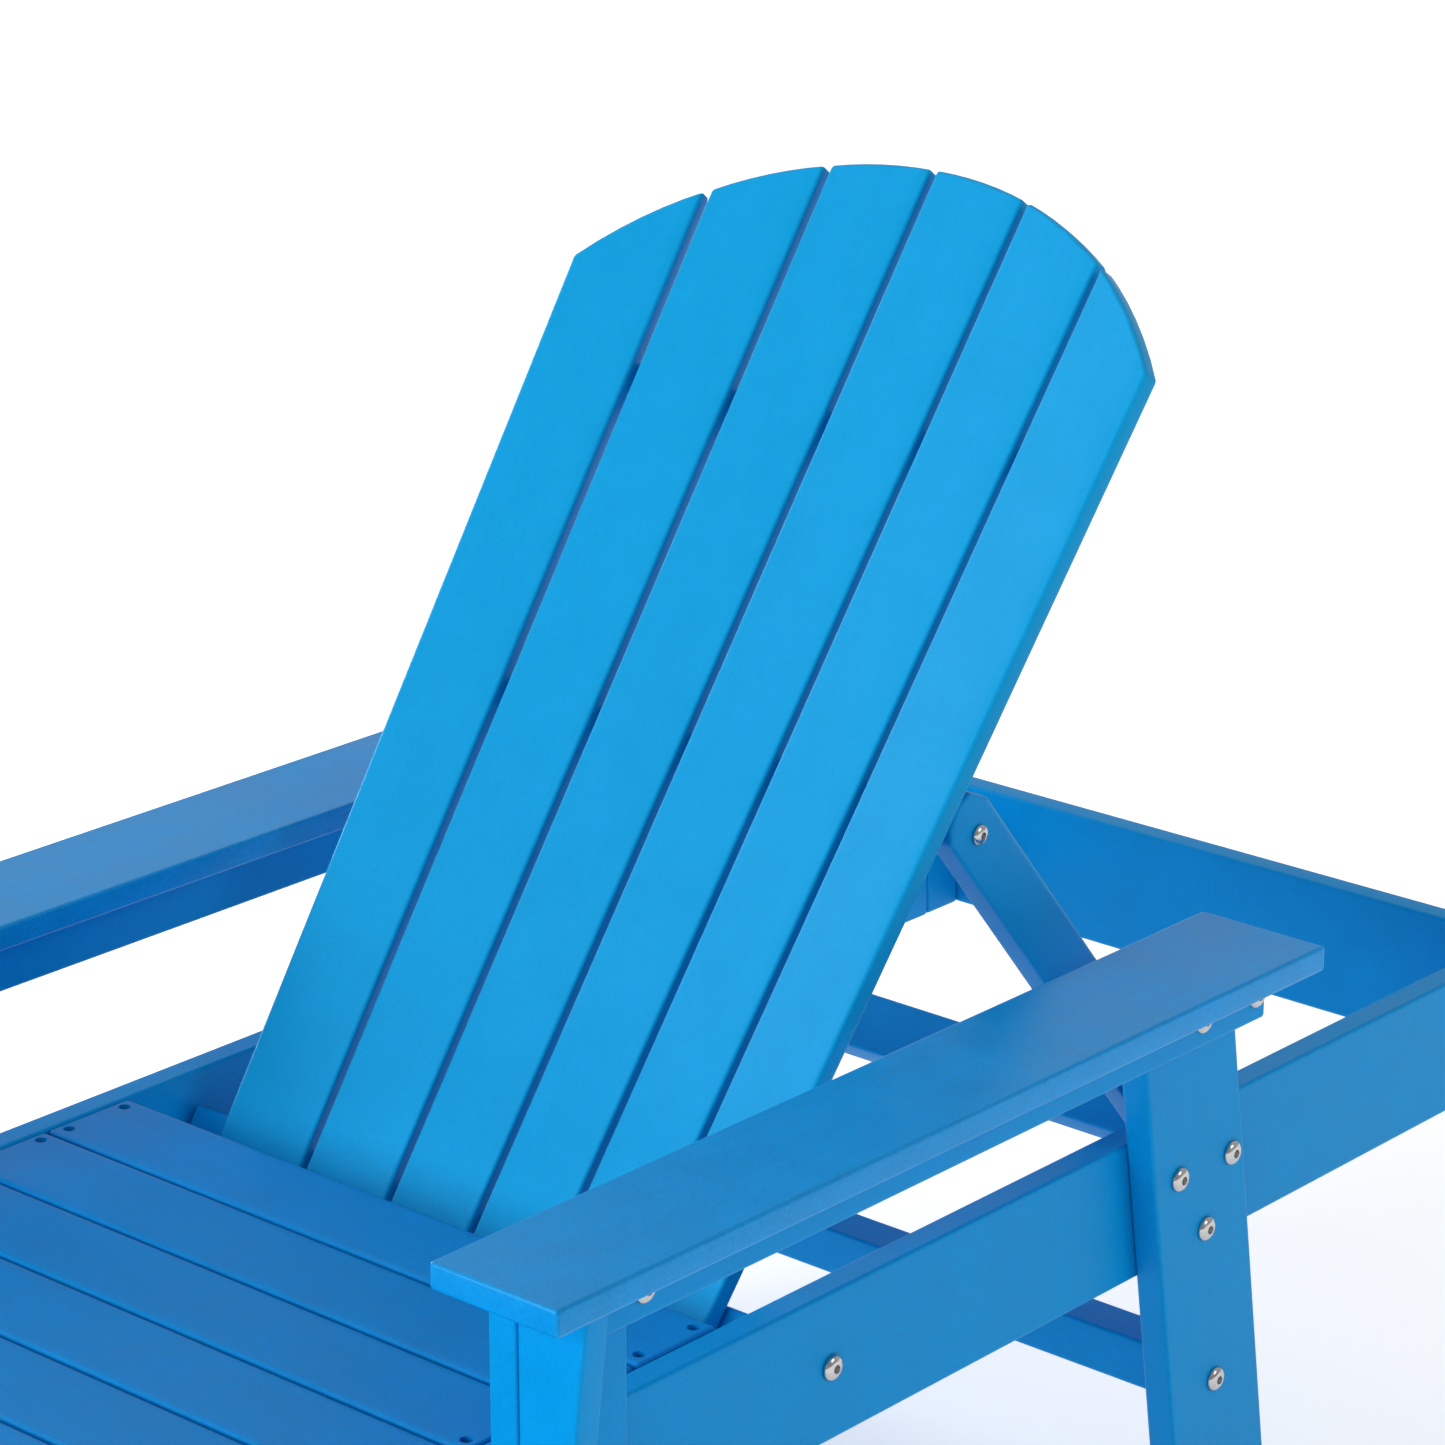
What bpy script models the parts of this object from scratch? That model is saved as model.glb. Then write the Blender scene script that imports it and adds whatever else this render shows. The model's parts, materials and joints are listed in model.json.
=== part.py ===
"""Adirondack chaise lounge in poly lumber, with an adjustable back held by a swinging prop.

Metres, +Z up. The floor is z = 0, +Y points to the head end, and the lounge is
symmetric about x = 0. "left" pieces are on the sitter's left, at +X.
"""

from math import cos, pi, radians, sin, sqrt

import bmesh
import bpy
from mathutils import Matrix, Vector

for old in list(bpy.data.objects):
    bpy.data.objects.remove(old, do_unlink=True)

# ---------------------------------------------------------------- dimensions
T = 0.022  # thickness of the frame and back boards
LEG_T = 0.024
BACK_T = 0.0142  # the back slats are thinner
ARM_T = 0.019
EDGE = 0.0028  # rounding of every board's edges
GAP = 0.0003  # air between touching pieces

SEAT_Z = 0.400  # top of the rails and seat slats
RAIL_LOW = 0.290
RAIL_OUT = 0.310  # outer face of each side rail
END_Y = 0.975  # the frame runs from -END_Y to END_Y

SLAT_N = 12
SLAT_PITCH = 0.0799
SLAT_W = 0.0764
SLAT_REAR_Y = 0.0109  # rear edge of the rearmost seat slat
SLAT_HALF = 0.286
HOLE_R = 0.00465  # counterbore over each slat screw
HOLE_DEEP = 0.009
HOLE_X = 0.2765
HOLE_DY = 0.0265
LEDGER_LOW = 0.333
LEDGER_REAR_Y = 0.009

BACK_ANGLE = radians(53.425)  # slope of the back above the horizontal
BACK_Y = 0.1017  # where the middle of the back's front face crosses the seat top
BACK_HALF = 0.2396  # half width of the back there
FAN = 0.1902  # widening of the back per metre of its length
CUP = 0.3753  # the edges stand CUP * x^2 forward of the middle
BACK_GAP_LOW, BACK_GAP_TOP = 0.0060, 0.0056
BACK_SLATS = 6
BACK_LOW_S = -0.106  # lower end of the back slats, along the slope
BACK_TOP_S = 0.7948  # crown of the arched top
ARCH_R = 0.345

PIVOT_S, PIVOT_OFF = -0.0453, 0.0315  # recline axis, in the back's own plane
BATTEN_REAR = 0.073  # rear edge of the battens behind the back's front plane
MID_S, MID_OFF = 0.3315, 0.0290  # prop axis, in the back's own plane
TOP_S = 0.590
TOP_HALF = 0.190
TONGUE_OFF = -0.005  # front edge of the lower batten past the slats

ARM_IN = 0.230  # inner face of each prop arm
PROP_FRONT, PROP_REAR = -0.0240, 0.0238  # the arms' edges, either side of the prop axis
BAR_FRONT, BAR_REAR = -0.0223, 0.0257
PROP_ANGLE = radians(-50.5)
PROP_BAR_U = 0.3815  # from the prop axis down to the crossbar
PROP_BAR_HALF = 0.2645
PROP_TURN = -1.884  # turn of the prop on the back for each degree of recline

RACK_IN = 0.266
RACK_TOP = 0.370
RACK_FRONT = 0.450
RACK_CLEAR = 0.0006
BLOCK_W = 0.041  # corner blocks that join the head board to the rails
STOP_TURNS = [radians(a) for a in (6.0, 0.0, -10.0, -18.0, -26.0)]

LEAN = 0.1545  # rearward run of the rear legs for each metre down
REAR_LEG_Y, REAR_LEG_Z, REAR_LEG_RUN = 0.4141, 0.4617, 0.1080
FRONT_LEG_Y, FRONT_LEG_W = -0.228, 0.101
FOOT_LEG_Y, FOOT_LEG_W = -0.930, 0.105

STRETCH = 0.038
REAR_STRETCHER = (0.5138, 0.190)  # centre, y and z
FRONT_STRETCHER = (-0.1775, 0.190)
FOOT_STRETCHER = (-0.8775, 0.190)

ARM_TOP = 0.5542
ARM_X0, ARM_X1 = 0.3093, 0.4155
ARM_Y0, ARM_Y1 = -0.2766, 0.5104
APRON_X = 0.3442
APRON_LOW = 0.487
BRACKET_X, BRACKET_Z, BRACKET_TAPER = 0.392, 0.518, 0.115
BRACKET_LOW = 0.250
SPACER_REAR = (0.4180, 0.5040)
SPACER_FRONT_Y1 = -0.130

BOLT_R = 0.004
BOLT_HOLE_R = 0.0045
HEAD_R = 0.00925
HEAD_H = 0.0050

BLUE = (0.012, 0.335, 0.735)
STEEL = (0.72, 0.72, 0.73)

# ------------------------------------------------------------------ helpers


def collection_link(obj):
    bpy.context.scene.collection.objects.link(obj)
    return obj


def finish_of(name, colour, rough, metal):
    mat = bpy.data.materials.new(name + "_finish")
    mat.use_nodes = True
    shader = mat.node_tree.nodes["Principled BSDF"]
    shader.inputs["Base Color"].default_value = (*colour, 1)
    shader.inputs["Roughness"].default_value = rough
    shader.inputs["Metallic"].default_value = metal
    mat.diffuse_color = (*colour, 1)
    return mat


def object_of(name, bm, colour=BLUE, rough=0.5, metal=0.0):
    bmesh.ops.recalc_face_normals(bm, faces=bm.faces[:])
    mesh = bpy.data.meshes.new(name)
    bm.to_mesh(mesh)
    bm.free()
    obj = collection_link(bpy.data.objects.new(name, mesh))
    mesh.materials.append(finish_of(name, colour, rough, metal))
    return obj


def rounded(obj, width=EDGE, segments=2):
    """Eases the board's edges, as a router does."""
    mod = obj.modifiers.new("eased_edges", "BEVEL")
    mod.width = width
    mod.segments = segments
    mod.limit_method = "ANGLE"
    mod.angle_limit = radians(28)
    mod.use_clamp_overlap = True
    return obj


def prism(name, points, depth_vector, **finish):
    """A board: a flat outline swept along depth_vector."""
    bm = bmesh.new()
    face = bm.faces.new([bm.verts.new(p) for p in points])
    swept = bmesh.ops.extrude_face_region(bm, geom=[face])
    verts = [v for v in swept["geom"] if isinstance(v, bmesh.types.BMVert)]
    bmesh.ops.translate(bm, verts=verts, vec=depth_vector)
    return object_of(name, bm, **finish)


def box(name, low, high, **finish):
    x0, y0, z0 = low
    x1, y1, z1 = high
    outline = [(x0, y0, z0), (x1, y0, z0), (x1, y1, z0), (x0, y1, z0)]
    return prism(name, outline, (0, 0, z1 - z0), **finish)


def rod_mesh(bm, centre, axis, radius, length, sides=16):
    """A closed round rod from centre, running along axis."""
    axis = Vector(axis).normalized()
    turn = Vector((0, 0, 1)).rotation_difference(axis).to_matrix().to_4x4()
    place = Matrix.Translation(Vector(centre) + axis * length / 2) @ turn
    bmesh.ops.create_cone(
        bm, cap_ends=True, segments=sides, radius1=radius, radius2=radius, depth=length, matrix=place
    )


def drill(obj, name, rods, sides=16):
    """Cuts round holes: rods are (centre, axis, radius, length)."""
    bm = bmesh.new()
    for centre, axis, radius, length in rods:
        rod_mesh(bm, centre, axis, radius, length, sides)
    bmesh.ops.recalc_face_normals(bm, faces=bm.faces[:])
    mesh = bpy.data.meshes.new(name)
    bm.to_mesh(mesh)
    bm.free()
    cutter = collection_link(bpy.data.objects.new(name, mesh))
    cutter.hide_render = True
    cutter.display_type = "WIRE"
    mod = obj.modifiers.new("holes", "BOOLEAN")
    mod.operation = "DIFFERENCE"
    mod.solver = "EXACT"
    mod.object = cutter
    return cutter


def bolt(name, centre, axis, length, head_r=HEAD_R, head_h=HEAD_H, shank=BOLT_R):
    """A dome-headed bolt. centre is under the head, axis points from the shank to the head."""
    steps = 4
    profile = [(0.0, -length), (shank, -length), (shank, 0.0), (head_r, 0.0), (head_r, head_h * 0.25)]
    for i in range(1, steps):
        a = i * pi / 2 / steps
        profile.append((head_r * cos(a), head_h * (0.25 + 0.75 * sin(a))))
    profile.append((0.0, head_h))
    bm = bmesh.new()
    verts = [bm.verts.new((r, 0, z)) for r, z in profile]
    edges = [bm.edges.new(pair) for pair in zip(verts, verts[1:])]
    bmesh.ops.spin(
        bm, geom=verts + edges, cent=(0, 0, 0), axis=(0, 0, 1), angle=2 * pi, steps=16, use_merge=True
    )
    bmesh.ops.remove_doubles(bm, verts=bm.verts[:], dist=1e-5)
    turn = Vector((0, 0, 1)).rotation_difference(Vector(axis)).to_matrix().to_4x4()
    bmesh.ops.transform(bm, matrix=Matrix.Translation(Vector(centre)) @ turn, verts=bm.verts[:])
    obj = object_of(name, bm, colour=STEEL, rough=0.22, metal=1.0)
    obj.data.shade_smooth()
    obj.data.set_sharp_from_angle(angle=radians(40))
    return obj


def hang_on(parent, *pieces):
    """Parents pieces to an empty on the axis they turn about, leaving them where they are."""
    for piece in pieces:
        piece.parent = parent
        piece.matrix_parent_inverse = Matrix.Translation(-parent.location)


def axis_empty(name, y, z):
    empty = collection_link(bpy.data.objects.new(name, None))
    empty.location = (0, y, z)
    empty.empty_display_size = 0.05
    return empty


SIDES = (("left", 1), ("right", -1))

# ------------------------------------------------- where the back's points lie


def back_point(x, s, off):
    """x across, s up the slope from the seat's level, off behind the front plane."""
    return Vector(
        (
            x,
            BACK_Y + s * cos(BACK_ANGLE) + off * sin(BACK_ANGLE),
            SEAT_Z + s * sin(BACK_ANGLE) - off * cos(BACK_ANGLE),
        )
    )


pivot = back_point(0, PIVOT_S, PIVOT_OFF)
prop_pivot = back_point(0, MID_S, MID_OFF)
back_axis = axis_empty("back_axis", pivot.y, pivot.z)
prop_axis = axis_empty("prop_axis", prop_pivot.y, prop_pivot.z)

# --------------------------------------------------------------- side frame
rail_in = RAIL_OUT - T
for side, m in SIDES:
    xs = sorted((m * rail_in, m * RAIL_OUT))
    rail = rounded(box(f"side_rail_{side}", (xs[0], -END_Y, RAIL_LOW), (xs[1], END_Y, SEAT_Z)))
    drill(rail, f"rail_hole_{side}", [((m * (rail_in - 0.01), pivot.y, pivot.z), (m, 0, 0), BOLT_HOLE_R, T + 0.02)])

    xs = sorted((m * (rail_in - GAP), m * (rail_in - GAP - T)))
    top = SEAT_Z - T - GAP
    rounded(box(f"seat_ledger_{side}", (xs[0], -END_Y + T + GAP, LEDGER_LOW), (xs[1], LEDGER_REAR_Y, top)))

end_half = rail_in - GAP
rounded(box("head_board", (-end_half, END_Y - T, RAIL_LOW), (end_half, END_Y, SEAT_Z)))
rounded(box("foot_board", (-end_half, -END_Y, RAIL_LOW), (end_half, -END_Y + T, SEAT_Z)))

# --------------------------------------------------------------- seat slats
for i in range(SLAT_N):
    y1 = SLAT_REAR_Y - i * SLAT_PITCH
    y0 = y1 - SLAT_W
    slat = rounded(box(f"seat_slat_{i + 1:02d}", (-SLAT_HALF, y0, SEAT_Z - T), (SLAT_HALF, y1, SEAT_Z)))
    centre = (y0 + y1) / 2
    drill(
        slat,
        f"slat_holes_{i + 1:02d}",
        [
            ((mx * HOLE_X, centre + my * HOLE_DY, SEAT_Z - HOLE_DEEP), (0, 0, 1), HOLE_R, HOLE_DEEP + 0.01)
            for mx in (1, -1)
            for my in (1, -1)
        ],
        12,
    )

# --------------------------------------------------------------------- back
pitch = (2 * BACK_HALF + BACK_GAP_LOW) / BACK_SLATS


def joint_x(i, s):
    """The middle of the gap on the left of slat i."""
    return (-BACK_HALF - BACK_GAP_LOW / 2 + i * pitch) * (1 + FAN * s)


def half_gap(s):
    return (BACK_GAP_LOW + (BACK_GAP_TOP - BACK_GAP_LOW) * s / BACK_TOP_S) / 2


def slat_left(i, s):
    return -BACK_HALF * (1 + FAN * s) if i == 0 else joint_x(i, s) + half_gap(s)


def slat_right(i, s):
    return BACK_HALF * (1 + FAN * s) if i == BACK_SLATS - 1 else joint_x(i + 1, s) - half_gap(s)


def slat_plane(i):
    """(A, B, C) of the slat's flat front, off = A + B x + C s, touching the cupped curve."""
    low, high = 0.0, 0.63
    mid = [(slat_left(i, s) + slat_right(i, s)) / 2 for s in (low, (low + high) / 2, high)]
    b = -2 * CUP * mid[1]
    a0 = -CUP * mid[0] ** 2 - b * mid[0]
    a1 = -CUP * mid[2] ** 2 - b * mid[2]
    return a0, b, (a1 - a0) / (high - low)


def front_off(i, x, s):
    a, b, c = slat_plane(i)
    return a + b * x + c * s


def rear_off(i, x, s):
    a, b, c = slat_plane(i)
    return a + b * x + c * s + BACK_T * sqrt(1 + b * b + c * c)


def arch_s(x):
    return BACK_TOP_S - ARCH_R + sqrt(ARCH_R * ARCH_R - x * x)


def meets_arch(side_of, i):
    s = BACK_TOP_S
    for _ in range(60):
        s = arch_s(side_of(i, s))
    return s


ARCH_STEPS = 6
for i in range(BACK_SLATS):
    x_left = slat_left(i, meets_arch(slat_left, i))
    x_right = slat_right(i, meets_arch(slat_right, i))
    outline = [(slat_left(i, BACK_LOW_S), BACK_LOW_S), (slat_right(i, BACK_LOW_S), BACK_LOW_S)]
    for k in range(ARCH_STEPS + 1):
        x = x_right + (x_left - x_right) * k / ARCH_STEPS
        outline.append((x, arch_s(x)))
    points = [back_point(x, s, front_off(i, x, s)) for x, s in outline]
    a, b, c = slat_plane(i)
    rear = back_point(-b, -c, 1) - back_point(0, 0, 0)
    hang_on(back_axis, rounded(prism(f"back_slat_{i + 1}", points, rear.normalized() * BACK_T)))


def seat_for_slats(x, s_mid):
    """How far behind the front plane a batten's front edge lies at x."""
    i = min(range(BACK_SLATS), key=lambda n: abs(x - (slat_left(n, s_mid) + slat_right(n, s_mid)) / 2))
    near = [n for n in (i - 1, i, i + 1) if 0 <= n < BACK_SLATS and abs(x - (joint_x(n, s_mid) + joint_x(n + 1, s_mid)) / 2) < pitch]
    return max(rear_off(n, x, s) for n in near for s in (s_mid - T / 2, s_mid + T / 2)) + GAP


def batten(name, s_mid, half, tongue, bolt_at):
    """A board on edge behind the slats, its front edge cut to the back's cupped shape."""
    inner = [joint_x(i, s_mid) for i in range(1, BACK_SLATS)]
    flat = half - tongue
    outline = [(x, seat_for_slats(x, s_mid)) for x in [-flat] + inner + [flat]]
    if tongue:
        end = [(flat, TONGUE_OFF), (half - 0.0045, TONGUE_OFF), (half - 0.0013, TONGUE_OFF + 0.0013), (half, TONGUE_OFF + 0.0045)]
        outline = [(-x, off) for x, off in reversed(end)] + outline[1:-1] + end
    outline += [(half, BATTEN_REAR), (-half, BATTEN_REAR)]
    points = [back_point(x, s_mid - T / 2, off) for x, off in outline]
    obj = rounded(prism(name, points, (back_point(0, 1, 0) - back_point(0, 0, 0)) * T))
    if bolt_at:
        drill(obj, name + "_bores", [((m * (half + 0.01), bolt_at.y, bolt_at.z), (-m, 0, 0), BOLT_HOLE_R, 0.055) for m in (1, -1)])
    hang_on(back_axis, obj)


tongue_len = rail_in - 0.0013 - slat_right(BACK_SLATS - 1, PIVOT_S) + 0.0005
batten("back_batten_lower", PIVOT_S, rail_in - 0.0013, tongue_len, pivot)
batten("back_batten_middle", MID_S, ARM_IN - GAP, 0, prop_pivot)
batten("back_batten_upper", TOP_S, TOP_HALF, 0, None)

# --------------------------------------------------------------------- prop
down = Vector((0, cos(PROP_ANGLE), sin(PROP_ANGLE)))
rise = Vector((0, -sin(PROP_ANGLE), cos(PROP_ANGLE)))


def prop_point(x, u, v):
    """u down the arm from the prop axis, v across it towards the rear."""
    return prop_pivot + Vector((x, 0, 0)) + down * u + rise * v


arm_end = PROP_BAR_U - GAP
for side, m in SIDES:
    # The head of the arm is cut to clear the slats as the arm swings.
    outline = [(arm_end, PROP_FRONT), (arm_end, PROP_REAR), (-0.0130, PROP_REAR), (-0.0170, 0.0212)]
    outline += [(-0.0315, 0.0138), (-0.0345, 0.0000), (-0.0300, -0.0150), (-0.0190, PROP_FRONT)]
    points = [prop_point(m * ARM_IN, u, v) for u, v in outline]
    arm = rounded(prism(f"prop_arm_{side}", points, (m * T, 0, 0)))
    drill(arm, f"prop_arm_bore_{side}", [(prop_point(m * (ARM_IN - 0.01), 0, 0), (m, 0, 0), BOLT_HOLE_R, T + 0.02)])
    under_head = prop_pivot + Vector((m * (ARM_IN + T + GAP), 0, 0))
    hang_on(prop_axis, arm, bolt(f"prop_bolt_{side}", under_head, (m, 0, 0), 0.060))

bar = [(PROP_BAR_U, BAR_FRONT), (PROP_BAR_U + T, BAR_FRONT), (PROP_BAR_U + T, BAR_REAR), (PROP_BAR_U, BAR_REAR)]
points = [prop_point(-PROP_BAR_HALF, u, v) for u, v in bar]
hang_on(prop_axis, rounded(prism("prop_crossbar", points, (2 * PROP_BAR_HALF, 0, 0))))

# -------------------------------------------------------------------- racks


def bar_edge(turn):
    """The crossbar's lowest edge, y and z, with the back turned by turn from where it stands."""
    arm = Matrix.Rotation(turn * (1 + PROP_TURN), 3, "X") @ (prop_point(0, PROP_BAR_U + T, BAR_FRONT) - prop_pivot)
    top = pivot + Matrix.Rotation(turn, 3, "X") @ (prop_pivot - pivot)
    return (top + arm).y, (top + arm).z


rise_rear, rise_front = -1 / sin(PROP_ANGLE) * cos(PROP_ANGLE), -sin(PROP_ANGLE) / cos(PROP_ANGLE)
notches = [(y, z - RACK_CLEAR) for y, z in map(bar_edge, STOP_TURNS)]
block_front = END_Y - T - GAP - BLOCK_W
rack_rear = block_front - GAP
profile = [(rack_rear, RAIL_LOW), (RACK_FRONT, RAIL_LOW)]
y, z = notches[0]
first = z + (y - RACK_FRONT) * rise_front
profile += [(RACK_FRONT, min(first, RACK_TOP))]
if first > RACK_TOP:
    profile.append((y - (RACK_TOP - z) / rise_front, RACK_TOP))
for (y, z), following in zip(notches, notches[1:] + [None]):
    profile.append((y, z))
    top_y = y + (RACK_TOP - z) / rise_rear
    if following is None:
        profile.append((top_y, RACK_TOP))
        continue
    next_y = following[0] - (RACK_TOP - following[1]) / rise_front
    if top_y < next_y - 0.001:
        profile += [(top_y, RACK_TOP), (next_y, RACK_TOP)]
    else:  # neighbouring notches meet below the rack's top
        meet = (following[1] - z + rise_rear * y + rise_front * following[0]) / (rise_rear + rise_front)
        profile.append((meet, z + (meet - y) * rise_rear))
profile.append((rack_rear, RACK_TOP))
for side, m in SIDES:
    x = m * RACK_IN
    xs = sorted((x, m * (rail_in - GAP)))
    rounded(box(f"corner_block_{side}", (xs[0], block_front, RAIL_LOW), (xs[1], block_front + BLOCK_W, SEAT_Z - 0.002)))
    rounded(prism(f"recline_rack_{side}", [(x, y, z) for y, z in profile], (m * (rail_in - GAP - RACK_IN), 0, 0)), 0.002)

# --------------------------------------------------------------------- legs
arm_low = ARM_TOP - ARM_T
leg_in = RAIL_OUT + GAP
leg_out = leg_in + LEG_T
leg_top = arm_low - GAP
for side, m in SIDES:
    xs = sorted((m * leg_in, m * leg_out))
    rounded(box(f"front_leg_{side}", (xs[0], FRONT_LEG_Y, 0), (xs[1], FRONT_LEG_Y + FRONT_LEG_W, leg_top)))
    rounded(box(f"foot_leg_{side}", (xs[0], FOOT_LEG_Y, 0), (xs[1], FOOT_LEG_Y + FOOT_LEG_W, SEAT_Z)))

    # The rear leg runs backwards as it goes down.
    y_top = REAR_LEG_Y - LEAN * (leg_top - REAR_LEG_Z)
    y_foot = REAR_LEG_Y + LEAN * REAR_LEG_Z
    outline = [(y_foot, 0), (y_foot + REAR_LEG_RUN, 0), (y_top + REAR_LEG_RUN, leg_top), (y_top, leg_top)]
    rounded(prism(f"rear_leg_{side}", [(m * leg_in, y, z) for y, z in outline], (m * LEG_T, 0, 0)))

for name, (y, z) in (
    ("rear_stretcher", REAR_STRETCHER),
    ("front_stretcher", FRONT_STRETCHER),
    ("foot_stretcher", FOOT_STRETCHER),
):
    h = STRETCH / 2
    rounded(box(name, (-RAIL_OUT, y - h, z - h), (RAIL_OUT, y + h, z + h)))

# ----------------------------------------------------------------- armrests
apron_front = FRONT_LEG_Y + 0.0005 + T + GAP
spacer_in, spacer_out = leg_out + GAP, APRON_X - GAP
for side, m in SIDES:
    xs = sorted((m * ARM_X0, m * ARM_X1))
    rounded(box(f"armrest_{side}", (xs[0], ARM_Y0, arm_low), (xs[1], ARM_Y1, ARM_TOP)))
    xs = sorted((m * APRON_X, m * (APRON_X + T)))
    rounded(box(f"arm_apron_{side}", (xs[0], apron_front, APRON_LOW), (xs[1], ARM_Y1, leg_top)))
    xs = sorted((m * spacer_in, m * spacer_out))
    for place, (y0, y1) in (("rear", SPACER_REAR), ("front", (apron_front, SPACER_FRONT_Y1))):
        rounded(box(f"arm_spacer_{place}_{side}", (xs[0], y0, APRON_LOW), (xs[1], y1, leg_top)), 0.001, 1)

    # The bracket stands across the front leg and narrows downwards.
    def outer(z):
        return BRACKET_X - BRACKET_TAPER * (BRACKET_Z - z)

    outline = [(spacer_in, leg_top), (outer(leg_top), leg_top), (outer(BRACKET_LOW + 0.012), BRACKET_LOW + 0.012)]
    outline += [(outer(BRACKET_LOW) - 0.0035, BRACKET_LOW + 0.0035), (outer(BRACKET_LOW) - 0.012, BRACKET_LOW), (spacer_in, BRACKET_LOW)]
    rounded(prism(f"arm_bracket_{side}", [(m * x, FRONT_LEG_Y + 0.0005, z) for x, z in outline], (0, T, 0)))

# --------------------------------------------------------------- back bolts
for side, m in SIDES:
    under_head = Vector((m * (RAIL_OUT + GAP), pivot.y, pivot.z))
    hang_on(back_axis, bolt(f"back_pivot_bolt_{side}", under_head, (m, 0, 0), 0.060))

# The prop hangs on the back, so its axis follows the back's.
hang_on(back_axis, prop_axis)
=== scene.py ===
import json
from math import cos, pi, radians, sin, sqrt

import bmesh
import bpy
from mathutils import Matrix, Vector

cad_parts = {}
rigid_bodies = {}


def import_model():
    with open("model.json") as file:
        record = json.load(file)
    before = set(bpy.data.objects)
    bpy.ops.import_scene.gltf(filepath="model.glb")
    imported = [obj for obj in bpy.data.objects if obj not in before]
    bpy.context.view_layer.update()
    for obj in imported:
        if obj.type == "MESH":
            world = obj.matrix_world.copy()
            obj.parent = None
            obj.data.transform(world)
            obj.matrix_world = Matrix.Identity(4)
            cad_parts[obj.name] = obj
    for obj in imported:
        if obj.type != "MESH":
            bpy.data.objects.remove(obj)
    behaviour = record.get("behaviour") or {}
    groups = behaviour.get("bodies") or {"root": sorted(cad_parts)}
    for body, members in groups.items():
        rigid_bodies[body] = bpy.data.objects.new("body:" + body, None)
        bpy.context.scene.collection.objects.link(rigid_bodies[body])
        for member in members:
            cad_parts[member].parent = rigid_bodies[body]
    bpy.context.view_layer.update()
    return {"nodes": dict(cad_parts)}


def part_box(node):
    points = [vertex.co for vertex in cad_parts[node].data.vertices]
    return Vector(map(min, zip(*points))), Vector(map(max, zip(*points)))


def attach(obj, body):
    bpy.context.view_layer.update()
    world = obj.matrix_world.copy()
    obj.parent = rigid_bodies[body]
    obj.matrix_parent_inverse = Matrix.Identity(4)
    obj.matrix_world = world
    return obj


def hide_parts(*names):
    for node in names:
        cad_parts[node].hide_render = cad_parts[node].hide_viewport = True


for old in list(bpy.data.objects):
    bpy.data.objects.remove(old, do_unlink=True)

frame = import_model()
nodes = frame["nodes"]

# --------------------------------------------------------------- geometry
BACK_ANGLE = radians(53.425)
PROP_ANGLE = radians(-50.5)
X, Y, Z = Vector((1, 0, 0)), Vector((0, 1, 0)), Vector((0, 0, 1))


def smoothing_group():
    """Merges the imported faces' corners and shades every rounded edge smooth, keeping corners over 50 degrees crisp."""
    tree = bpy.data.node_groups.new("rounded_edges", "GeometryNodeTree")
    tree.interface.new_socket("Geometry", in_out="INPUT", socket_type="NodeSocketGeometry")
    tree.interface.new_socket("Geometry", in_out="OUTPUT", socket_type="NodeSocketGeometry")
    into, out = tree.nodes.new("NodeGroupInput"), tree.nodes.new("NodeGroupOutput")
    merge = tree.nodes.new("GeometryNodeMergeByDistance")
    merge.inputs["Distance"].default_value = 0.00001
    faces = tree.nodes.new("GeometryNodeSetShadeSmooth")
    faces.domain = "FACE"
    faces.inputs["Shade Smooth"].default_value = True
    edges = tree.nodes.new("GeometryNodeSetShadeSmooth")
    edges.domain = "EDGE"
    edges.inputs["Shade Smooth"].default_value = False
    angle = tree.nodes.new("GeometryNodeInputMeshEdgeAngle")
    over = tree.nodes.new("FunctionNodeCompare")
    over.data_type = "FLOAT"
    over.operation = "GREATER_THAN"
    over.inputs[1].default_value = radians(50)
    tree.links.new(into.outputs[0], merge.inputs["Geometry"])
    tree.links.new(merge.outputs[0], faces.inputs["Geometry"])
    tree.links.new(faces.outputs[0], edges.inputs["Geometry"])
    tree.links.new(angle.outputs["Unsigned Angle"], over.inputs[0])
    tree.links.new(over.outputs[0], edges.inputs["Selection"])
    tree.links.new(edges.outputs[0], out.inputs[0])
    return tree


SMOOTH = smoothing_group()


def soften(obj):
    if "custom_normal" in obj.data.attributes:
        obj.data.attributes.remove(obj.data.attributes["custom_normal"])
    mod = obj.modifiers.new("rounded_edges", "NODES")
    mod.node_group = SMOOTH
    weigh = obj.modifiers.new("flat_faces_stay_flat", "WEIGHTED_NORMAL")
    weigh.keep_sharp = True
    weigh.weight = 100


# -------------------------------------------------------------- materials


def link(tree, a, b):
    tree.links.new(a, b)


def grain_direction(name):
    """(along, across, up) of the board, unit vectors in the row frame."""
    if name.startswith("back_slat"):
        i = int(name[-1]) - 1
        lean = 0.1902 * (-0.2391 + 0.0399 + i * 0.0797)
        along = Vector((lean, cos(BACK_ANGLE), sin(BACK_ANGLE))).normalized()
    elif name.startswith("prop_arm"):
        along = Vector((0, cos(PROP_ANGLE), sin(PROP_ANGLE)))
    elif name.startswith("rear_leg"):
        along = Vector((0, 0.1545, -1)).normalized()
    elif "leg" in name or "bracket" in name:
        along = Z.copy()
    elif name.startswith(("side_rail", "seat_ledger", "recline_rack", "armrest", "arm_")):
        along = Y.copy()
    else:
        along = X.copy()
    helper = X if abs(along.x) < 0.7 else Z
    across = helper.cross(along).normalized()
    return along, across, along.cross(across).normalized()


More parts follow.
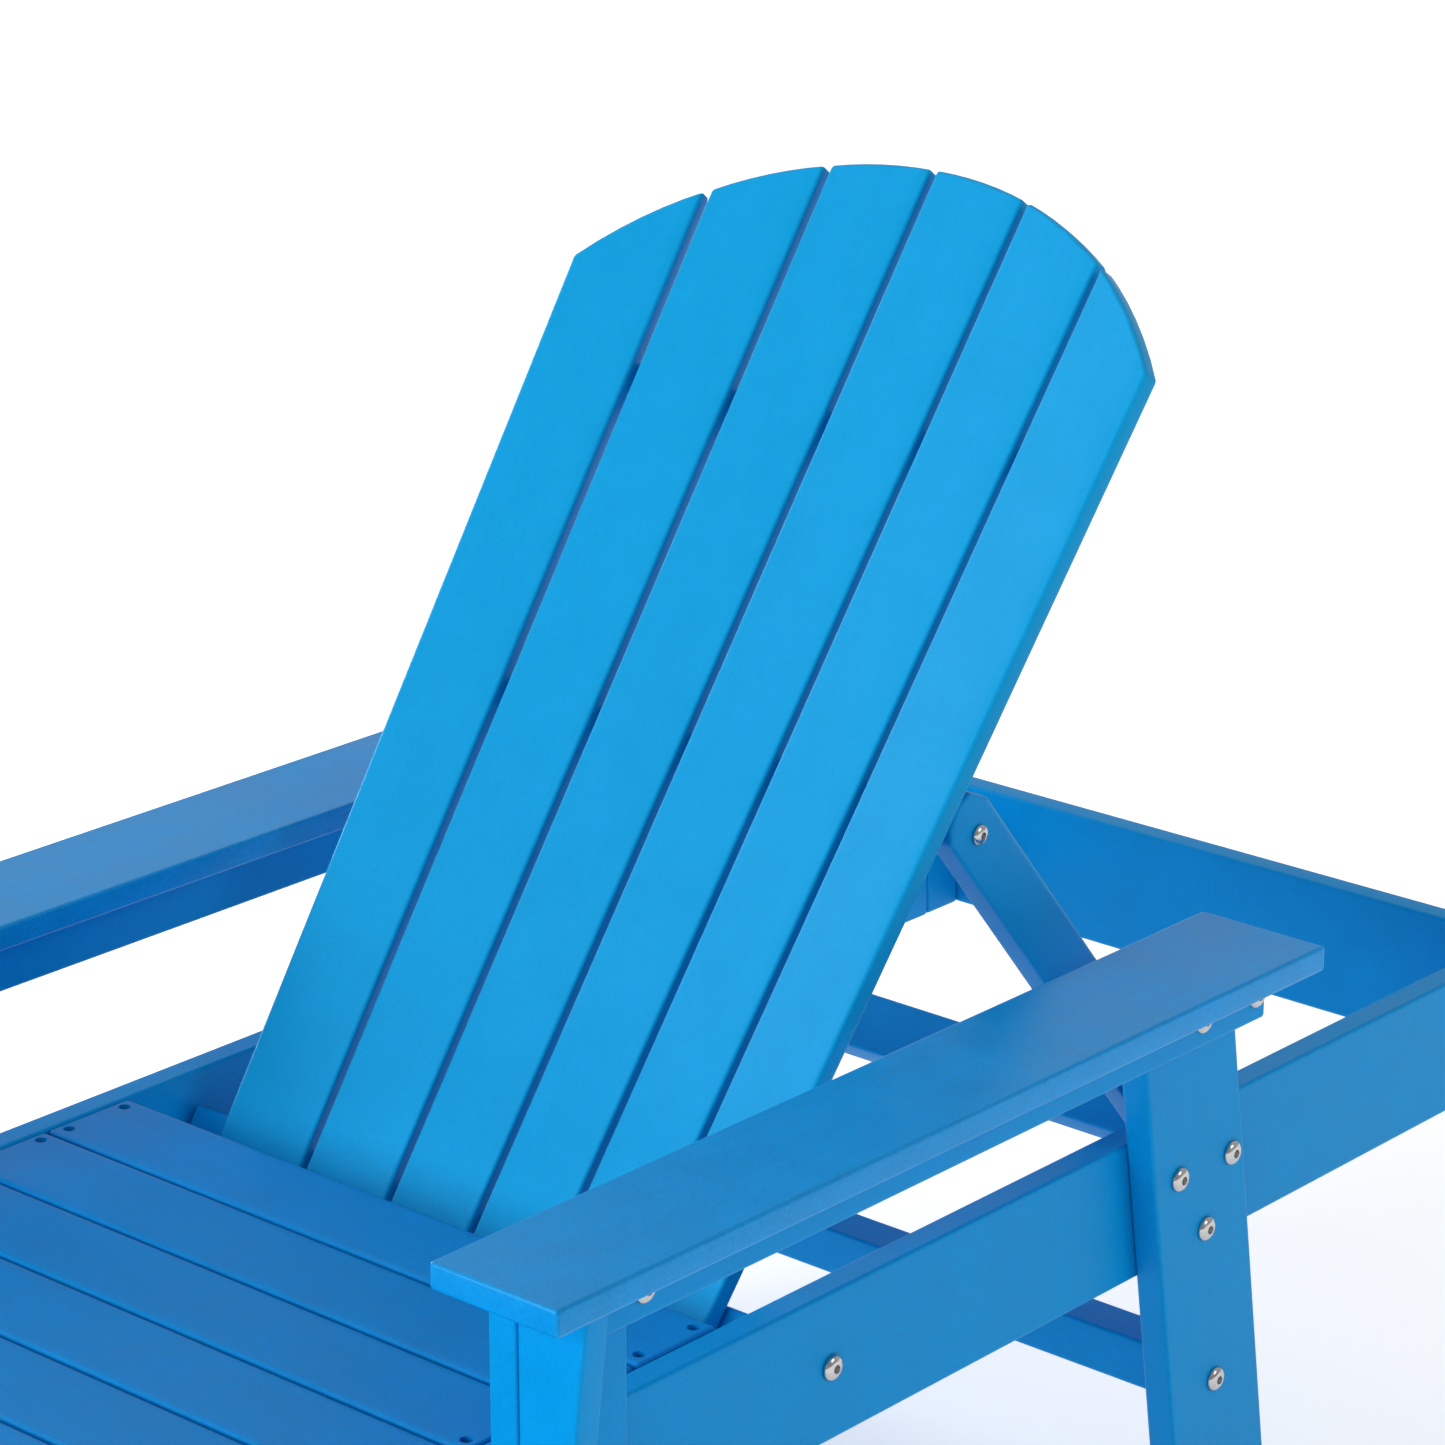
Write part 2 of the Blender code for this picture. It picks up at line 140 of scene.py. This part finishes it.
def plastic(name, colour, seed, rough=0.42, grain=1.0, ior=1.25):
    """Solid-coloured poly lumber: a fine sandy skin, soft cloudy mottling and very faint lengthwise drag lines."""
    along, across, up = grain_direction(name)
    mat = bpy.data.materials.new(name + "_poly")
    mat.use_nodes = True
    tree = mat.node_tree
    new = tree.nodes.new
    shader = tree.nodes["Principled BSDF"]
    coords = new("ShaderNodeTexCoord")

    def dot(vec, scale):
        node = new("ShaderNodeVectorMath")
        node.operation = "DOT_PRODUCT"
        node.inputs[1].default_value = tuple(vec * scale)
        link(tree, coords.outputs["Object"], node.inputs[0])
        return node.outputs["Value"]

    def space(a, b, c, offset):
        """Board space: stretched along the board."""
        join = new("ShaderNodeCombineXYZ")
        link(tree, dot(along, a), join.inputs["X"])
        link(tree, dot(across, b), join.inputs["Y"])
        link(tree, dot(up, c), join.inputs["Z"])
        move = new("ShaderNodeVectorMath")
        move.operation = "ADD"
        move.inputs[1].default_value = (offset * 7.13, offset * 3.71, offset * 5.37)
        link(tree, join.outputs[0], move.inputs[0])
        return move.outputs[0]

    def noise(vector, detail, roughness, distortion=0.0):
        node = new("ShaderNodeTexNoise")
        node.inputs["Scale"].default_value = 1.0
        node.inputs["Detail"].default_value = detail
        node.inputs["Roughness"].default_value = roughness
        node.inputs["Distortion"].default_value = distortion
        link(tree, vector, node.inputs["Vector"])
        return node.outputs["Fac"]

    def spread(value, low, high, to_low, to_high):
        node = new("ShaderNodeMapRange")
        node.inputs["From Min"].default_value = low
        node.inputs["From Max"].default_value = high
        node.inputs["To Min"].default_value = to_low
        node.inputs["To Max"].default_value = to_high
        link(tree, value, node.inputs["Value"])
        return node.outputs["Result"]

    def combine(operation, a, b):
        node = new("ShaderNodeMath")
        node.operation = operation
        for socket, value in zip(node.inputs, (a, b)):
            if isinstance(value, float):
                socket.default_value = value
            else:
                link(tree, value, socket)
        return node.outputs[0]

    streaks = noise(space(6, 420, 420, seed), 3, 0.6)
    wide = noise(space(3, 38, 38, seed + 2.3), 3, 0.55, 0.3)
    mottle = noise(space(22, 26, 26, seed + 4.1), 4, 0.6)
    fine = noise(space(340, 400, 400, seed + 1.7), 4, 0.75)
    specks = noise(space(520, 640, 640, seed + 6.4), 1, 0.4)

    tone = combine("ADD", spread(streaks, 0.3, 0.7, -0.012 * grain, 0.012 * grain), spread(mottle, 0.3, 0.7, -0.030 * grain, 0.030 * grain))
    tone = combine("ADD", tone, spread(wide, 0.3, 0.7, -0.008 * grain, 0.008 * grain))
    tone = combine("ADD", tone, spread(fine, 0.3, 0.7, -0.055 * grain, 0.055 * grain))
    tone = combine("ADD", tone, spread(specks, 0.66, 0.78, 0.0, 0.05 * grain))
    gain = combine("ADD", tone, 1.0)
    paint = new("ShaderNodeVectorMath")
    paint.operation = "SCALE"
    paint.inputs[0].default_value = colour
    link(tree, gain, paint.inputs["Scale"])
    link(tree, paint.outputs[0], shader.inputs["Base Color"])

    sheen = combine("ADD", spread(fine, 0.3, 0.7, -0.04, 0.05), spread(mottle, 0.3, 0.7, -0.04, 0.05))
    link(tree, combine("ADD", sheen, float(rough)), shader.inputs["Roughness"])
    shader.inputs["IOR"].default_value = ior
    shader.inputs["Specular IOR Level"].default_value = 0.5
    shader.inputs["Specular Tint"].default_value = (0.20, 0.70, 1.0, 1)

    height = combine("ADD", combine("MULTIPLY", streaks, 0.08 * grain), combine("MULTIPLY", fine, 0.6))
    height = combine("ADD", height, combine("MULTIPLY", specks, 0.4))
    bump = new("ShaderNodeBump")
    bump.inputs["Strength"].default_value = 0.32
    bump.inputs["Distance"].default_value = 0.0006
    link(tree, height, bump.inputs["Height"])
    link(tree, bump.outputs[0], shader.inputs["Normal"])
    return mat


def steel(name, seed, colour=(0.58, 0.575, 0.57), rough=0.17):
    """Polished stainless steel with faint smudges."""
    mat = bpy.data.materials.new(name)
    mat.use_nodes = True
    tree = mat.node_tree
    shader = tree.nodes["Principled BSDF"]
    shader.inputs["Metallic"].default_value = 1.0
    coords = tree.nodes.new("ShaderNodeTexCoord")
    smudge = tree.nodes.new("ShaderNodeTexNoise")
    smudge.inputs["Scale"].default_value = 260 + seed
    smudge.inputs["Detail"].default_value = 3
    link(tree, coords.outputs["Object"], smudge.inputs["Vector"])
    ramp = tree.nodes.new("ShaderNodeMapRange")
    ramp.inputs["From Min"].default_value = 0.3
    ramp.inputs["From Max"].default_value = 0.7
    ramp.inputs["To Min"].default_value = rough - 0.06
    ramp.inputs["To Max"].default_value = rough + 0.10
    link(tree, smudge.outputs["Fac"], ramp.inputs["Value"])
    link(tree, ramp.outputs["Result"], shader.inputs["Roughness"])
    tone = tree.nodes.new("ShaderNodeMapRange")
    tone.inputs["From Min"].default_value = 0.25
    tone.inputs["From Max"].default_value = 0.75
    tone.inputs["To Min"].default_value = 0.88
    tone.inputs["To Max"].default_value = 1.06
    link(tree, smudge.outputs["Fac"], tone.inputs["Value"])
    paint = tree.nodes.new("ShaderNodeVectorMath")
    paint.operation = "SCALE"
    paint.inputs[0].default_value = colour
    link(tree, tone.outputs["Result"], paint.inputs["Scale"])
    link(tree, paint.outputs[0], shader.inputs["Base Color"])
    return mat


# One blue poly lumber in four copies, each tuned to how the lamps fall on its group. The seat's copy is painted darker,
# as painted shade on its up-facing boards. The back, frame and armrest copies differ a little, also painted light and
# shade.
BACK_BLUE = (0.0025, 0.303, 0.640)
FRAME_BLUE = (0.0006, 0.278, 0.655)
SEAT_BLUE_PAINTED_SHADE = (0.0010, 0.212, 0.590)
ARM_BLUE = (0.0010, 0.258, 0.655)


def tint(colour, k):
    return tuple(c * (1 + k) for c in colour)


for index, (name, obj) in enumerate(sorted(nodes.items())):
    if "bolt" in name:
        continue
    soften(obj)
    wobble = ((index * 37) % 11 - 5) / 5
    if name.startswith("back_slat"):
        mat = plastic(name, tint(BACK_BLUE, 0.010 * wobble), index * 1.37, 0.38, 0.8, 1.34)
    elif name.startswith("seat_slat"):
        # The seat boards take the darker copy of the blue, painted shade on the up-facing seat.
        mat = plastic(name, tint(SEAT_BLUE_PAINTED_SHADE, 0.03 * wobble), index * 1.37, 0.42, 1.7, 1.30)
    elif name.startswith("armrest"):
        mat = plastic(name, tint(ARM_BLUE, 0.01 * wobble), index * 1.37, 0.36, 2.2, 1.52)
    else:
        mat = plastic(name, tint(FRAME_BLUE, 0.015 * wobble), index * 1.37, 0.42, 1.1, 1.28)
    obj.data.materials.clear()
    obj.data.materials.append(mat)

# ----------------------------------------------------------------- bolts
HEAD_R, HEAD_H = 0.00925, 0.0050


def head_mesh(bm, centre, axis, radius=HEAD_R, height=HEAD_H, socket=0.0029, deep=0.0026, sides=36):
    """A dome head with a hexagonal socket, standing on centre and facing along axis."""
    turn = Vector((0, 0, 1)).rotation_difference(Vector(axis)).to_matrix().to_4x4()
    place = Matrix.Translation(Vector(centre)) @ turn

    def ring(radius_at, z):
        out = []
        for k in range(sides):
            a = 2 * pi * k / sides
            r = radius_at(a)
            out.append(bm.verts.new(place @ Vector((r * cos(a), r * sin(a), z))))
        return out

    def hexagon(a):
        """Distance to the side of a hexagon whose flats lie socket from the middle."""
        return socket / cos((a + pi / 6) % (pi / 3) - pi / 6)

    rings = [ring(lambda a: radius * 0.985, 0.0), ring(lambda a: radius, 0.0004), ring(lambda a: radius, 0.0011)]
    for k in range(1, 7):
        t = k / 7 * radians(66)
        r = radius * cos(t)
        rings.append(ring(lambda a, r=r: r, 0.0011 + (height - 0.0011) * sin(t) / sin(radians(66))))
    rings.append(ring(lambda a: max(hexagon(a) * 1.06, socket * 1.12), height))
    rings.append(ring(hexagon, height - 0.0002))
    rings.append(ring(hexagon, height - deep))
    for low, high in zip(rings, rings[1:]):
        for k in range(sides):
            bm.faces.new((low[k], low[(k + 1) % sides], high[(k + 1) % sides], high[k]))
    middle = bm.verts.new(place @ Vector((0, 0, height - deep - 0.0004)))
    for k in range(sides):
        bm.faces.new((rings[-1][k], rings[-1][(k + 1) % sides], middle))
    bm.faces.new(list(reversed(rings[0])))


def piece_from(bm, name, mat, angle=38):
    bmesh.ops.recalc_face_normals(bm, faces=bm.faces[:])
    mesh = bpy.data.meshes.new(name)
    bm.to_mesh(mesh)
    bm.free()
    mesh.shade_smooth()
    mesh.set_sharp_from_angle(angle=radians(angle))
    mesh.materials.append(mat)
    obj = bpy.data.objects.new(name, mesh)
    bpy.context.scene.collection.objects.link(obj)
    return obj


POLISHED = steel("polished_bolts", 0)
LEG_FACE = 0.3343
APRON_FACE = 0.3662
leg_bolts = [(0.5203, 0.3697), (0.4568, 0.3696), (0.4910, 0.3195), (0.5091, 0.1926)]
front_bolts = [(-0.2000, 0.3685), (-0.1550, 0.3183), (-0.1775, 0.190)]
foot_bolts = [(-0.9020, 0.3685), (-0.8530, 0.3685), (-0.8775, 0.3183), (-0.8775, 0.190)]
apron_bolts = [(0.4340, 0.5078), (0.4975, 0.5078), (-0.1470, 0.5078), (-0.1920, 0.5078)]
for side, m in (("left", 1), ("right", -1)):
    for kind, face, spots in (
        ("rear_leg", LEG_FACE, leg_bolts),
        ("front_leg", LEG_FACE, front_bolts),
        ("foot_leg", LEG_FACE, foot_bolts),
        ("arm_apron", APRON_FACE, apron_bolts),
    ):
        bm = bmesh.new()
        for y, z in spots:
            head_mesh(bm, (m * (face + 0.0001), y, z), (m, 0, 0))
        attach(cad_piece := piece_from(bm, f"{kind}_bolt_heads_{side}", POLISHED), "frame")

# The photo's prop bolts have smaller heads than the rest.
for joint, body, head in (("back_pivot", "back", (HEAD_R, HEAD_H, 0.0029)), ("prop", "prop", (0.0075, 0.0042, 0.0024))):
    for side, m in (("left", 1), ("right", -1)):
        node = f"{joint}_bolt_{side}"
        low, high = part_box(node)
        y, z = (low.y + high.y) / 2, (low.z + high.z) / 2
        tip = high.x if m > 0 else low.x
        under = tip - m * HEAD_H
        end = low.x if m > 0 else high.x
        bm = bmesh.new()
        head_mesh(bm, (under, y, z), (m, 0, 0), *head)
        length = abs(end - under)
        turn = Vector((0, 0, 1)).rotation_difference(Vector((m, 0, 0))).to_matrix().to_4x4()
        place = Matrix.Translation(((under + end) / 2, y, z)) @ turn
        bmesh.ops.create_cone(bm, cap_ends=True, segments=24, radius1=0.00395, radius2=0.00395, depth=length - 0.0001, matrix=place)
        piece = piece_from(bm, f"{node}_piece", POLISHED)
        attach(piece, body)
        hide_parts(node)

# ---------------------------------------------------------- slat screws
SCREW_STEEL = steel("screw_steel", 9, (0.50, 0.50, 0.51), 0.30)
bm = bmesh.new()
for i in range(12):
    centre = 0.0109 - i * 0.0799 - 0.0382
    for mx in (1, -1):
        for my in (1, -1):
            head_mesh(bm, (mx * 0.2765, centre + my * 0.0265, 0.3911), (0, 0, 1), 0.0040, 0.0024, 0.0014, 0.0014, 24)
screws = piece_from(bm, "slat_screw_heads", SCREW_STEEL)
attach(screws, "frame")

# ------------------------------------------------------------------ stage


def pale_floor():
    bm = bmesh.new()
    for x, y in ((-30, -30), (30, -30), (30, 30), (-30, 30)):
        bm.verts.new((x, y, 0))
    bm.verts.ensure_lookup_table()
    bm.faces.new(bm.verts)
    mesh = bpy.data.meshes.new("floor")
    bm.to_mesh(mesh)
    bm.free()
    obj = bpy.data.objects.new("floor", mesh)
    bpy.context.scene.collection.objects.link(obj)
    mat = bpy.data.materials.new("floor_pale")
    mat.use_nodes = True
    shader = mat.node_tree.nodes["Principled BSDF"]
    shader.inputs["Base Color"].default_value = (0.84, 0.84, 0.84, 1)
    shader.inputs["Emission Color"].default_value = (1, 1, 1, 1)
    # The glow rises away from the chair, where the lamps no longer reach, so the floor stays one pale tone.
    tree = mat.node_tree
    coords = tree.nodes.new("ShaderNodeTexCoord")
    reach = tree.nodes.new("ShaderNodeVectorMath")
    reach.operation = "LENGTH"
    link(tree, coords.outputs["Object"], reach.inputs[0])
    glow = tree.nodes.new("ShaderNodeMapRange")
    glow.interpolation_type = "SMOOTHSTEP"
    glow.inputs["From Min"].default_value = 0.9
    glow.inputs["From Max"].default_value = 5.0
    glow.inputs["To Min"].default_value = 0.42
    glow.inputs["To Max"].default_value = 0.66
    link(tree, reach.outputs["Value"], glow.inputs["Value"])
    link(tree, glow.outputs["Result"], shader.inputs["Emission Strength"])
    shader.inputs["Roughness"].default_value = 0.9
    shader.inputs["Specular IOR Level"].default_value = 0.0
    mesh.materials.append(mat)


pale_floor()

world = bpy.data.worlds.new("studio")
bpy.context.scene.world = world
world.use_nodes = True
sky = world.node_tree
where = sky.nodes.new("ShaderNodeTexCoord")
toward = sky.nodes.new("ShaderNodeVectorMath")
toward.operation = "DOT_PRODUCT"
toward.inputs[1].default_value = (-0.80, 0.45, 0.25)
link(sky, where.outputs["Generated"], toward.inputs[0])
level = sky.nodes.new("ShaderNodeMapRange")
level.inputs["From Min"].default_value = -0.9
level.inputs["From Max"].default_value = 0.9
level.inputs["To Min"].default_value = 0.30
level.inputs["To Max"].default_value = 0.62
link(sky, toward.outputs["Value"], level.inputs["Value"])
sky.nodes["Background"].inputs["Color"].default_value = (1.0, 1.0, 1.0, 1)
link(sky, level.outputs["Result"], sky.nodes["Background"].inputs["Strength"])


def area(name, place, target, size, power, colour=(1, 1, 1), spread=180):
    data = bpy.data.lights.new(name, "AREA")
    data.spread = radians(spread)
    data.shape = "RECTANGLE"
    data.size, data.size_y = size
    data.energy = power
    data.color = colour
    obj = bpy.data.objects.new(name, data)
    bpy.context.scene.collection.objects.link(obj)
    obj.location = place
    obj.rotation_euler = (Vector(target) - Vector(place)).to_track_quat("-Z", "Y").to_euler()
    return obj


area("key", (-1.6, -5.2, 2.4), (0, 0.2, 0.5), (4.0, 3.0), 255)
area("edge", (3.8, 1.4, 2.7), (0, 0.3, 0.4), (1.6, 1.6), 27)
area("left_strip", (-3.7, 0.32, 1.4), (0, 0.3, 0.7), (0.8, 1.2), 40)

cam = bpy.data.cameras.new("camera")
cam.lens = 4872.97 / 1445 * 36
cam.sensor_width = 36
cam.clip_end = 100
eye = bpy.data.objects.new("camera", cam)
bpy.context.scene.collection.objects.link(eye)
azimuth, elevation = radians(41.3796), radians(18.6838)
ahead = Vector((-sin(azimuth) * cos(elevation), cos(azimuth) * cos(elevation), -sin(elevation)))
eye.location = (2.2045, -2.1606, 1.797)
eye.rotation_euler = ahead.to_track_quat("-Z", "Y").to_euler()
bpy.context.scene.camera = eye
bpy.context.scene.view_settings.view_transform = "Standard"
bpy.context.scene.view_settings.look = "None"
